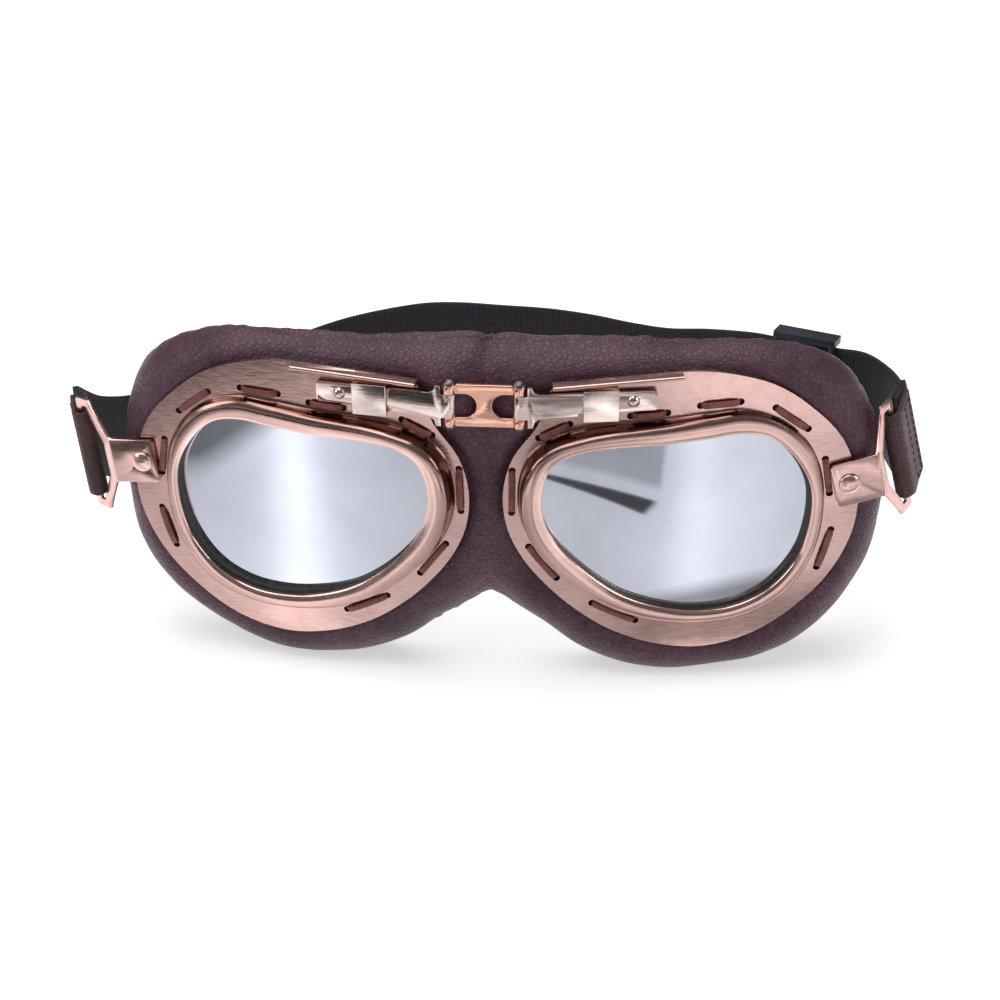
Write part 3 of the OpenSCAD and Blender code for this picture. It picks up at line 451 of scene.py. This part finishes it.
def make_pad(side, nm):
    A, U, ri, R, nose, G = pad_half(side)
    N, M = G.shape[:2]
    # weight: none at the eye opening and under the flange, none on the nose line's x
    flat = G[..., [0, 2]].reshape(-1, 2)-[0, EZ]; de = seg_dist(flat, edge_xz).reshape(N, M); ins = inside(flat, edge_xz).reshape(N, M)
    front = np.zeros((N, M), bool); front[:, :40] = True
    wgt = np.where(front, np.where(ins, 0, np.clip(de/5, 0, 1)), 1.0); wgt[:, -2:] *= 0.3
    # direction of displacement: outward normal
    du = np.roll(G, -1, 0)-np.roll(G, 1, 0); dv = np.zeros_like(G); dv[:, 1:-1] = G[:, 2:]-G[:, :-2]; dv[:, 0] = G[:, 1]-G[:, 0]; dv[:, -1] = G[:, -1]-G[:, -2]
    nn = np.cross(dv, du); L = np.linalg.norm(nn, axis=-1, keepdims=True); nn = nn/np.maximum(L, 1e-9)
    ref = np.stack([np.repeat(U[:, :1], M, 1), np.full((N, M), -0.6), np.repeat(U[:, 1:], M, 1)], -1)
    nn *= np.sign((nn*ref).sum(-1, keepdims=True)+1e-12)
    bad = (L[..., 0] < 1e-6); nn[bad] = 0
    n0 = shape_noise(G, side)
    # small pleats where the skin is gathered round the rim
    ang = np.arctan2(U[:, 1], U[:, 0])[:, None]*side
    s_arc = np.arange(N)[:, None]*1.0
    jj = np.arange(M)[None]; rim = np.exp(-((jj-46)/7.0)**2)
    pleat = (vnoise(np.stack([s_arc*0.55+0*jj, 0*s_arc+jj*0.06, 0*s_arc+0*jj+side*3.7], -1)*1.0, 1.0, 5))*0.55*rim
    G2 = G+nn*((n0+pleat)*wgt*0.55)[..., None]
    on = G[..., 0] < 0.05; G2[on, 0] = 0.0
    near = np.clip(G[..., 0]/3.0, 0, 1)[..., None]; G2 = G+(G2-G)*np.where(near < 1, near, 1)
    G2[..., 2] = np.where(G[..., 1] > 8, np.maximum(G2[..., 2], 0.15), np.maximum(G2[..., 2], 0.1))
    keep = np.ones((N, M), bool)
    nz = nose & np.roll(nose, -1)
    keep[nz, 39:] = False
    leather_rows = G2
    # face cloth: back sheet from the rolled edge to the eye opening, then the inner wall forward
    k2 = np.linspace(0, 1, 12); q0 = G2[:, -1]; P0 = q0[:, [0, 2]]-[0, EZ]; rr = np.linalg.norm(P0-PC, axis=1)
    rows = []
    for k in k2:
        r = rr+(ri+2.5-rr)*k; q = PC+U*r[:, None]; x = np.maximum(q[:, 0], 0)
        yy = back_y(x)-0.35+0.7*math.sin(math.pi*k)*np.where(True, 1, 0); rows.append(np.stack([x, yy, EZ+q[:, 1]], -1))
    for ph in np.linspace(0, math.pi/2, 5)[1:]:
        r = ri+2.5-2.5*math.sin(ph); q = PC+U*r[:, None]; rows.append(np.stack([q[:, 0], back_y(q[:, 0])-0.35-2.5*(1-math.cos(ph)), EZ+q[:, 1]], -1))
    for t in np.linspace(0, 1, 8)[1:]:
        q = PC+U*ri[:, None]; y0 = back_y(q[:, 0])-2.85; rows.append(np.stack([q[:, 0], y0+(face_y(q[:, 0])+0.35-y0)*t, EZ+q[:, 1]], -1))
    C = np.stack(rows, 1)
    C[:, 0] = q0
    # the rolled edge on the nose line has no wall, so the sheet there starts on the mirror line
    for arr in (C,):
        for i in np.where(nose)[0]:
            arr[i, 0] = [0, back_y(0.0)-0.35, G2[i, -1, 2]]
            for j in range(1, 12): arr[i, j, 0] = max(arr[i, j, 0], 0)
    for i in np.where(nose)[0]:
        R0 = R[i]; rr_i = np.linalg.norm(R0-PC)
        for j, k in enumerate(k2):
            r = rr_i+(ri[i]+2.5-rr_i)*k; q = PC+U[i]*r; C[i, j] = [max(q[0], 0), back_y(max(q[0], 0))-0.35+0.7*math.sin(math.pi*k), EZ+q[1]]
    n2 = vnoise(C*[side, 1, 1], 18, 8)*0.5; wc = np.zeros(C.shape[:2]); wc[:, 2:11] = 1; C[..., 1] += n2*wc*np.clip(C[..., 0]/4, 0, 1)
    out = []
    for part, GG, mat, kp, flip in (("skin", leather_rows, M_LEATHER, keep, False), ("cloth", C, M_CLOTH, None, False)):
        N_, M_ = GG.shape[:2]; V = world(GG, side).reshape(-1, 3)
        F = grid_faces(N_, M_, True, False, side < 0, kp)
        me = bpy.data.meshes.new("tmp"); me.from_pydata([tuple(v) for v in V], [], F); me.update()
        bm = bmesh.new(); bm.from_mesh(me); bmesh.ops.remove_doubles(bm, verts=bm.verts, dist=2e-6); bmesh.ops.recalc_face_normals(bm, faces=bm.faces)
        c = Vector(world(np.array([EX, 5.0 if part == "skin" else 60.0, EZ]), side)); 
        # make sure the surface faces outwards
        tot = sum((f.normal.dot(Vector((0, -1, 0)))*f.calc_area() if part == "skin" else f.normal.dot(Vector((0, 1, 0)))*f.calc_area()) for f in bm.faces)
        if tot < 0: bmesh.ops.reverse_faces(bm, faces=bm.faces)
        bm.to_mesh(me); bm.free(); me.update()
        co = np.zeros(len(me.vertices)*3); me.vertices.foreach_get("co", co); co = co.reshape(-1, 3)
        vn = np.zeros(len(me.vertices)*3); me.vertices.foreach_get("normal", vn); vn = vn.reshape(-1, 3)
        mid = abs(co[:, 0]-ORG[0]*MM) < 2e-5; vn[mid, 0] = 0; vn /= np.maximum(np.linalg.norm(vn, axis=1, keepdims=True), 1e-9)
        ax = (co[:, 0]-ORG[0]*MM)*side/MM
        faces = [tuple(p.vertices) for p in me.polygons]
        for which in ("nose", "main"):
            sel = [f for f in faces if (max(ax[v] for v in f) < 14.5) == (which == "nose")]
            used = sorted(set(v for f in sel for v in f)); mp = {v: i for i, v in enumerate(used)}
            name = f"{nm}_pad_{part}_{which}"
            o = mesh_obj(name, co[used], [tuple(mp[v] for v in f) for f in sel], mat)
            o.data.normals_split_custom_set_from_vertices([tuple(x) for x in vn[used]])
            if which == "nose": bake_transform(o)
            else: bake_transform(o)
            out.append(o)
        bpy.data.meshes.remove(me)
    skin_n, skin_m, cl_n, cl_m = out
    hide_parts(f"{nm}_pad_leather"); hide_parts(f"{nm}_pad_lining", f"{nm}_pad_foam")
    if side > 0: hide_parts("nose_pad")

# ------------------------------------------------------------------ brackets' tabs
def rivet_pt(side, a, w, b):
    t = TILT[side]; return cup(RIVET[0]+a*math.cos(t)-b*math.sin(t), w, RIVET[1]+a*math.sin(t)+b*math.cos(t))
FLARE = {-1: math.radians(28), 1: math.radians(50)}; TURN = {-1: math.radians(32), 1: math.radians(14)}; BAR = np.array([10.4, 0.4])
def flare_pt(side, s, p, b):
    c, d = math.cos(FLARE[side]), math.sin(FLARE[side]); return rivet_pt(side, 7.8+s*c-p*d, -2.3+s*d+p*c, b)
def make_tab(side, nm):
    # one strip of leather folded round the bar of the bracket; both ends run back over the strap
    d = np.array([math.cos(TURN[side]), math.sin(TURN[side])]); n = np.array([-d[1], d[0]]); c = BAR
    path = [c+d*11.4-n*1.5, c+d*8-n*1.62, c+d*4.5-n*1.7, c+d*2-n*1.85]
    for a in np.linspace(-80, -280, 9): r = math.radians(a); path.append(c+1.93*(math.cos(r)*d+math.sin(r)*n))
    path += [c+d*2+n*1.85, c+d*4.5+n*1.7, c+d*8+n*1.62, c+d*11.4+n*1.5]
    C = run(path, 2); K = len(C); tg = np.gradient(C, axis=0); tg /= np.linalg.norm(tg, axis=1)[:, None]; nn = np.stack([-tg[:, 1], tg[:, 0]], 1)
    # rounded rectangle: (across, thickness)
    sec = [(11.3, -0.58), (11.65, -0.45), (11.8, -0.15), (11.8, 0.15), (11.65, 0.45), (11.3, 0.58)]+[(x, 0.58) for x in (8, 4, 0, -4, -8)]+\
          [(-11.3, 0.58), (-11.65, 0.45), (-11.8, 0.15), (-11.8, -0.15), (-11.65, -0.45), (-11.3, -0.58)]+[(x, -0.58) for x in (-8, -4, 0, 4, 8)]
    G = np.zeros((K, len(sec), 3))
    for i in range(K):
        for j, (b, h) in enumerate(sec):
            q = C[i]+nn[i]*h; G[i, j] = flare_pt(side, q[0], q[1], b+0.15*math.sin(i*0.7))
    o = grid_obj(f"{nm}_folded_tab", G, M_TAB, False, True, side, caps=True, angle=60)
    bm = bmesh.new(); bm.from_mesh(o.data); bmesh.ops.recalc_face_normals(bm, faces=bm.faces); bm.to_mesh(o.data); bm.free()
    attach(o, f"{nm}_bracket"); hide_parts(f"{nm}_tab")
    # stitching across and along the tab, on the face that shows
    Vs, Fs, off = [], [], 0
    rows = [((4.8, b), (4.8, b+1.5)) for b in np.arange(-10, 9, 2.1)]+[((9.6, b), (9.6, b+1.5)) for b in np.arange(-10, 9, 2.1)]
    rows += [((s_, e), (s_+1.4, e)) for e in (-10.4, 10.4) for s_ in np.arange(5.3, 9.2, 2.1)]
    for (s0, b0), (s1, b1) in rows:
        for sg in (-1, 1):
            pts = []
            for t in np.linspace(0, 1, 6):
                q = c+d*(s0+(s1-s0)*t)+n*sg*(1.62+0.50+0.26*math.sin(math.pi*t)); pts.append(flare_pt(side, q[0], q[1], b0+(b1-b0)*t))
            upv = flare_pt(side, *(c+n*sg), 0)-flare_pt(side, *c, 0); G = tube(pts, upv, 0.42, 0.34, 6)
            V = world(G, side).reshape(-1, 3); F = grid_faces(6, 6, False, True)+[tuple(range(6))[::-1], tuple(30+j for j in range(6))]
            Vs.append(V); Fs += [tuple(x+off for x in f) for f in F]; off += len(V)
    s = mesh_obj(f"{nm}_tab_stitches", np.concatenate(Vs), Fs, M_THREAD)
    bm = bmesh.new(); bm.from_mesh(s.data); bmesh.ops.recalc_face_normals(bm, faces=bm.faces); bm.to_mesh(s.data); bm.free()
    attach(s, f"{nm}_bracket")

# ------------------------------------------------------------------ strap
RUN = np.array([-0.92, 0.392, 0]); ADJ = np.array([81.7, 79, 49.2])
STRAP_R = [[106.6, 38, 53.8], [106.2, 52, 48.2], [103.6, 65, 47.6]]+[list(ADJ+t*RUN) for t in (-17, -8.5, 0, 8.5, 17)]+\
          [[54, 92, 47], [43, 97.5, 44.5], [32, 101.3, 44.3], [20, 103.3, 45.8], [7, 104.3, 47.2]]
STRAP_L = [[108.0, 37, 47], [102.5, 51, 40.8], [93, 66, 39], [81, 80, 40], [66, 91, 42.3], [50, 99.6, 44.8], [32, 103.5, 47.6], [20, 104.5, 48.2], [7, 104.6, 47.8]]
def make_strap():
    def start(side):
        c = BAR; d = np.array([math.cos(TURN[side]), math.sin(TURN[side])])
        return [flare_pt(side, *(c+d*6.0), 0), flare_pt(side, *(c+d*10.5), 0), flare_pt(side, *(c+d*15), 0)*[1, 1, 1]]
    R = start(1)+[np.array(p, float) for p in STRAP_R]; Lp = start(-1)+[np.array(p, float) for p in STRAP_L]
    full = [p for p in R]+[p*[-1, 1, 1] for p in Lp[::-1]]
    C = run(full, 8); K = len(C); arc = np.concatenate([[0], np.cumsum(np.linalg.norm(np.diff(C, axis=0), axis=1))]); tot = arc[-1]
    tg = np.gradient(C, axis=0); tg /= np.linalg.norm(tg, axis=1)[:, None]
    def wvec(side):
        v = flare_pt(side, 0, 0, 1)-flare_pt(side, 0, 0, 0); v = v*[side, 1, 1]; return v/np.linalg.norm(v)
    wr, wl = wvec(1), wvec(-1); up = np.array([0, 0, 1.0])
    prof = []; hw, ht = 12.4, 0.75
    ys = np.concatenate([np.linspace(-1, 1, 15)])
    for y in ys: prof.append((y*hw, ht*(1-0.25*abs(y)**8)))
    for y in ys[::-1]: prof.append((y*hw, -ht*(1-0.25*abs(y)**8)))
    G = np.zeros((K, len(prof), 3)); uv = np.zeros((K, len(prof), 2))
    for i in range(K):
        a, b = arc[i], tot-arc[i]; k = np.clip(1-(a-12)/26, 0, 1); l = np.clip(1-(b-12)/26, 0, 1)
        w = up*(1-max(k, l))+wr*k+wl*l; w /= np.linalg.norm(w); n = np.cross(w, tg[i]); n /= np.linalg.norm(n)
        wav = 0.35*math.sin(arc[i]/17)+0.2*math.sin(arc[i]/6.1); free = np.clip(min(a, b)/25-0.6, 0, 1)
        in_adj = np.exp(-((arc[i]-arc[np.argmin(np.linalg.norm(C[:, :2]-ADJ[:2], axis=1))])/14)**4)
        for j, (y, h) in enumerate(prof):
            curl = 0.5*free*(1-in_adj)*math.sin(arc[i]/13+y/14)
            G[i, j] = C[i]+w*y+n*(h+(curl+wav*0.5*(1-in_adj)*free)); uv[i, j] = (arc[i]*MM, (y+(40 if h < 0 else 0))*MM)
    def arc_at(x, right=True):
        idx = [i for i in range(K) if (C[i, 0] > 0) == right and C[i, 1] > 60]; return min(idx, key=lambda i: abs(abs(C[i, 0])-x))
    mid = int(np.argmin(np.where(C[:, 1] > 60, abs(C[:, 0]), 999)))
    def cut_y(right, y):   # last ring whose y is still below this, near the tab
        idx = [i for i in range(K) if (C[i, 0] > 0) == right]; idx = idx if right else idx[::-1]
        for i in idx:
            if C[i, 1] > y: return i
    segs = [("right_strap_end", cut_y(True, 44), 0, "right_eye", "right_bracket", (1, 42, 26), "y"), ("right_strap_side", arc_at(42), cut_y(True, 44), "right_arm", "right_eye", (1, 40, 62), "x"),
            ("right_strap_back", mid, arc_at(42), "bridge", "right_arm", (1, 3, 40), "x"),
            ("left_strap_end", cut_y(False, 44), K-1, "left_eye", "left_bracket", (-1, 42, 26), "y"), ("left_strap_side", arc_at(42, False), cut_y(False, 44), "left_arm", "left_eye", (-1, 40, 62), "x"),
            ("left_strap_back", mid, arc_at(42, False), "bridge", "left_arm", (-1, 3, 40), "x")]
    # shared normals so that the joins don't show
    allF = grid_faces(K, len(prof), False, True); me = bpy.data.meshes.new("t"); me.from_pydata([tuple(v) for v in world(G).reshape(-1, 3)], [], allF); me.update()
    bm = bmesh.new(); bm.from_mesh(me); bmesh.ops.recalc_face_normals(bm, faces=bm.faces); bm.verts.ensure_lookup_table(); bm.to_mesh(me)
    flipped = me.polygons[0].vertices[0:2] != allF[0][0:2]; bm.free(); me.update()
    vn = np.zeros(len(me.vertices)*3); me.vertices.foreach_get("normal", vn); vn = vn.reshape(K, len(prof), 3)
    rev = [tuple(p.vertices) for p in me.polygons][0]; first = allF[0]; same = any(rev[i:]+rev[:i] == tuple(first) for i in range(4))
    for nm, a, b, ba, bb, (sd, s0, s1), ax in segs:
        lo, hi = min(a, b), max(a, b); sub = G[lo:hi+1]; k = hi-lo+1; M = len(prof)
        F = grid_faces(k, M, False, True, not same)
        end = (lo == 0 and "end" in nm, hi == K-1 and "end" in nm)
        if end[0]: F.append(tuple(range(M))[::-1] if same else tuple(range(M)))
        if end[1]: F.append(tuple((k-1)*M+j for j in range(M)) if same else tuple((k-1)*M+j for j in range(M))[::-1])
        o = mesh_obj(nm, world(sub).reshape(-1, 3), F, M_ELASTIC, uv[lo:hi+1].reshape(-1, 2))
        o.data.normals_split_custom_set_from_vertices([tuple(x) for x in vn[lo:hi+1].reshape(-1, 3)])
        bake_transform(o)
        if nm.endswith("_end"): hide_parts(nm.split("_")[0]+"_strap")
        if nm == "right_strap_back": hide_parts("strap_back")
    bpy.data.meshes.remove(me)

for side, nm in ((-1, "left"), (1, "right")):
    make_bezel(side, nm); make_lens(side, nm); make_gasket(side, nm); make_lacing(side, nm); make_pad(side, nm); make_tab(side, nm)
make_strap()

# ------------------------------------------------------------------ stage, lights, camera
def m_floor():
    t = T("studio_floor"); t.set(Roughness=0.6, Emission_Color=(1.0, 1.0, 1.0, 1), Emission_Strength=0.50)
    s = t.noise(t.obj, 3, 2); t.col(t.ramp(s, [(0.3, (0.80, 0.79, 0.82)), (0.7, (0.83, 0.82, 0.85))])); t.b.inputs["Specular IOR Level"].default_value = 0.1; return t.m
fl = mesh_obj("studio_floor", np.array([[-4, -4, 0], [4, -4, 0], [4, 4, 0], [-4, 4, 0]], float), [(0, 1, 2, 3)], m_floor(), smooth=False)
w = bpy.data.worlds.new("studio"); bpy.context.scene.world = w; w.use_nodes = True; wt = w.node_tree; bg = wt.nodes["Background"]
tc = wt.nodes.new("ShaderNodeTexCoord"); sep = wt.nodes.new("ShaderNodeSeparateXYZ"); wt.links.new(tc.outputs["Generated"], sep.inputs[0])
rp = wt.nodes.new("ShaderNodeValToRGB"); mr = wt.nodes.new("ShaderNodeMapRange"); mr.inputs["From Min"].default_value = -0.1; mr.inputs["From Max"].default_value = 1.0
wt.links.new(sep.outputs["Z"], mr.inputs["Value"]); wt.links.new(mr.outputs[0], rp.inputs["Fac"])
e = rp.color_ramp.elements; e[0].position = 0.0; e[0].color = (0.14, 0.13, 0.15, 1); e[1].position = 1.0; e[1].color = (0.34, 0.34, 0.36, 1)
for p, c in ((0.3, (0.16, 0.15, 0.17, 1)), (0.6, (0.26, 0.26, 0.28, 1))):
    x = e.new(p); x.color = c
wt.links.new(rp.outputs["Color"], bg.inputs["Color"]); bg.inputs["Strength"].default_value = 0.8
def area(name, loc, target, sx, sy, power, col=(1, 1, 1), cam=False, spread=180):
    l = bpy.data.lights.new(name, "AREA"); l.shape = "RECTANGLE"; l.size = sx; l.size_y = sy; l.energy = power; l.color = col; l.spread = math.radians(spread)
    o = bpy.data.objects.new(name, l); bpy.context.scene.collection.objects.link(o); o.location = loc
    o.rotation_euler = (Vector(target)-Vector(loc)).to_track_quat("-Z", "Y").to_euler(); o.visible_camera = cam; return o
area("key_top", (-0.15, 0.05, 1.0), (0, 0, 0.03), 1.5, 0.9, 10.0)
area("fill_left", (-0.9, -0.45, 0.5), (0, 0, 0.05), 0.5, 0.6, 2.6)
area("fill_right", (0.9, -0.35, 0.45), (0, 0, 0.05), 0.4, 0.5, 2.2)
# what the metal and the mirrors see in front of them: a card just above the floor, seen by reflections only
def m_card():
    t = T("reflection_card"); t.t.nodes.remove(t.b); em = t.n("Emission"); t.link(em.outputs[0], t.t.nodes["Material Output"].inputs["Surface"])
    x = t.n("SeparateXYZ", ins={0: t.obj}).outputs
    X, Y = x[0], x[1]
    def line(ax, ay, dx, dy):   # signed distance from a line through (ax, ay), mm, in the direction (dx, dy)
        L = math.hypot(dx, dy); return t.math("ADD", t.math("MULTIPLY", X, -dy/L*1000), t.math("ADD", t.math("MULTIPLY", Y, dx/L*1000), (ax*dy-ay*dx)/L))
    def bell(d, wd): return t.math("POWER", 2.718, t.math("MULTIPLY", t.math("POWER", t.math("ABSOLUTE", t.math("DIVIDE", d, wd)), 2.0), -1.0))
    ox, oy = ORG[0], ORG[1]
    def ax_(v, o, a0, a1, lo, hi): return t.rng(v, (a0+o)/1000, (a1+o)/1000, lo, hi)   # between two design places, mm
    # left mirror: a bright streak; right mirror: a softer one and a dark swoosh that thickens to the right
    sl = bell(line(-103+ox, -78+oy, -0.57, -0.82), 9.0); sl2 = bell(line(-103+ox, -78+oy, -0.57, -0.82), 26.0)
    sr = bell(line(84+ox, -75+oy, 0.42, -0.9), 9.0); sr2 = bell(line(98+ox, -75+oy, 0.42, -0.9), 26.0)
    v = t.math("ADD", 0.66, t.math("MULTIPLY", t.noise(t.obj, 9, 2), 0.20))
    v = t.math("ADD", v, t.math("ADD", t.math("MULTIPLY", sl, 0.42), t.math("MULTIPLY", sl2, 0.34)))
    v = t.math("ADD", v, t.math("ADD", t.math("MULTIPLY", sr, 0.26), t.math("MULTIPLY", sr2, 0.30)))
    # large soft areas: dark beyond the left cup, bright far right, dimmer under the right cup
    dk = t.math("MULTIPLY", ax_(X, ox, -154, -138, 1, 0), ax_(Y, oy, -84, -58, 1, 0)); v = t.math("MULTIPLY", v, t.math("SUBTRACT", 1.0, t.math("MULTIPLY", dk, 0.72)))
    stops = [(-150, 0.10), (-124, 0.12), (-106, 1.05), (-86, 1.45), (-64, 1.2), (-34, 1.5), (-4, 1.5), (14, 0.35), (36, 0.12), (62, 0.25), (80, 1.1), (104, 1.7), (150, 1.5)]
    fr = t.n("SeparateColor", ins={0: t.ramp(ax_(X, ox, -150, 150, 0, 1), [((p+150)/300, (q/2, q/2, q/2)) for p, q in stops])}).outputs[0]
    isfar = ax_(Y, oy, -148, -139, 1, 0)
    v = t.math("ADD", t.math("MULTIPLY", v, t.math("SUBTRACT", 1.0, isfar)), t.math("MULTIPLY", t.math("MULTIPLY", fr, 2.0), isfar))
    lw = t.math("MULTIPLY", ax_(X, ox, 22, 48, 0, 1), ax_(Y, oy, -42, -34, 0, 1)); v = t.math("MULTIPLY", v, t.math("SUBTRACT", 1.0, t.math("MULTIPLY", lw, 0.62)))
    ll = t.math("MULTIPLY", ax_(X, ox, -60, -25, 1, 0), ax_(Y, oy, -60, -45, 0, 1)); v = t.math("ADD", v, t.math("MULTIPLY", ll, 0.02))
    # a dark wedge across the right mirror with a grey wash above it, up to an upright edge
    dx, dy = 0.692, 0.722; PX = t.math("SUBTRACT", t.math("MULTIPLY", X, 1000.0), 44.8+ox); PY = t.math("SUBTRACT", t.math("MULTIPLY", Y, 1000.0), -122.7+oy)
    along = t.math("ADD", t.math("MULTIPLY", PX, dx), t.math("MULTIPLY", PY, dy))
    bow = t.math("MULTIPLY", t.math("MULTIPLY", along, t.math("SUBTRACT", 43.0, along)), 0.0022)
    side_ = t.math("ADD", t.math("ADD", t.math("MULTIPLY", PX, -dy), t.math("MULTIPLY", PY, dx)), bow)
    wid = t.rng(along, 0, 43, 1.9, 5.2)
    core = t.math("MULTIPLY", t.rng(t.math("DIVIDE", t.math("ABSOLUTE", t.math("SUBTRACT", side_, t.rng(along, 0, 43, 0, 2.2))), wid), 0.85, 1.12, 1, 0), t.math("MULTIPLY", t.rng(along, -6, -2, 0, 1), t.rng(along, 42.5, 45.5, 1, 0)))
    edge = t.rng(line(96+ox, -132.6+oy, -11.2, 25.1), -0.8, 1.2, 0, 1)
    wash = t.math("MULTIPLY", t.math("MULTIPLY", t.rng(side_, -15, -9, 1, 0), edge), t.math("MULTIPLY", ax_(X, ox, 30, 84, 0.35, 1), t.math("SUBTRACT", 1.0, isfar)))
    v = t.math("MULTIPLY", v, t.math("SUBTRACT", 1.0, t.math("MULTIPLY", core, 0.90)))
    v = t.math("MULTIPLY", v, t.math("SUBTRACT", 1.0, t.math("MULTIPLY", wash, 0.42)))
    far = t.rng(Y, -0.30, -0.225, 0.42, 1.0); v = t.math("MULTIPLY", v, far)
    c = t.mix(1.0, t.n("CombineColor", ins={0: v, 1: v, 2: v}).outputs[0], (0.97, 0.98, 1.03), "MULTIPLY"); t.link(c, em.inputs[0]); em.inputs[1].default_value = 1.0
    return t.m
cd = mesh_obj("reflection_card", np.array([[-0.7, -0.9, 0.0012], [0.7, -0.9, 0.0012], [0.7, -0.062, 0.0012], [-0.7, -0.062, 0.0012]], float), [(0, 1, 2, 3)], m_card(), smooth=False)
for k in ("visible_camera", "visible_diffuse", "visible_transmission", "visible_volume_scatter", "visible_shadow"): setattr(cd, k, False)
# camera: fitted to matching points on both cups
yaw, pitch, roll = 0.09977384, 0.50212156, -0.01513608
back = np.array([math.sin(yaw)*math.cos(pitch), -math.cos(yaw)*math.cos(pitch), math.sin(pitch)]); right = np.array([math.cos(yaw), math.sin(yaw), 0]); up = np.cross(back, right)
r2 = math.cos(roll)*right+math.sin(roll)*up; u2 = -math.sin(roll)*right+math.cos(roll)*up
cam = bpy.data.cameras.new("photo_camera"); co = bpy.data.objects.new("photo_camera", cam); bpy.context.scene.collection.objects.link(co)
pos = (np.array([41.787, -388.930, 209.440+EZ])+ORG)*MM
co.matrix_world = Matrix([[r2[0], u2[0], back[0], pos[0]], [r2[1], u2[1], back[1], pos[1]], [r2[2], u2[2], back[2], pos[2]], [0, 0, 0, 1]])
cam.sensor_width = 36; cam.lens = 64.8; cam.clip_start = 0.01; cam.clip_end = 20
bpy.context.scene.camera = co
bpy.context.scene.view_settings.view_transform = "Standard"
bpy.context.scene.view_settings.exposure = 0.0
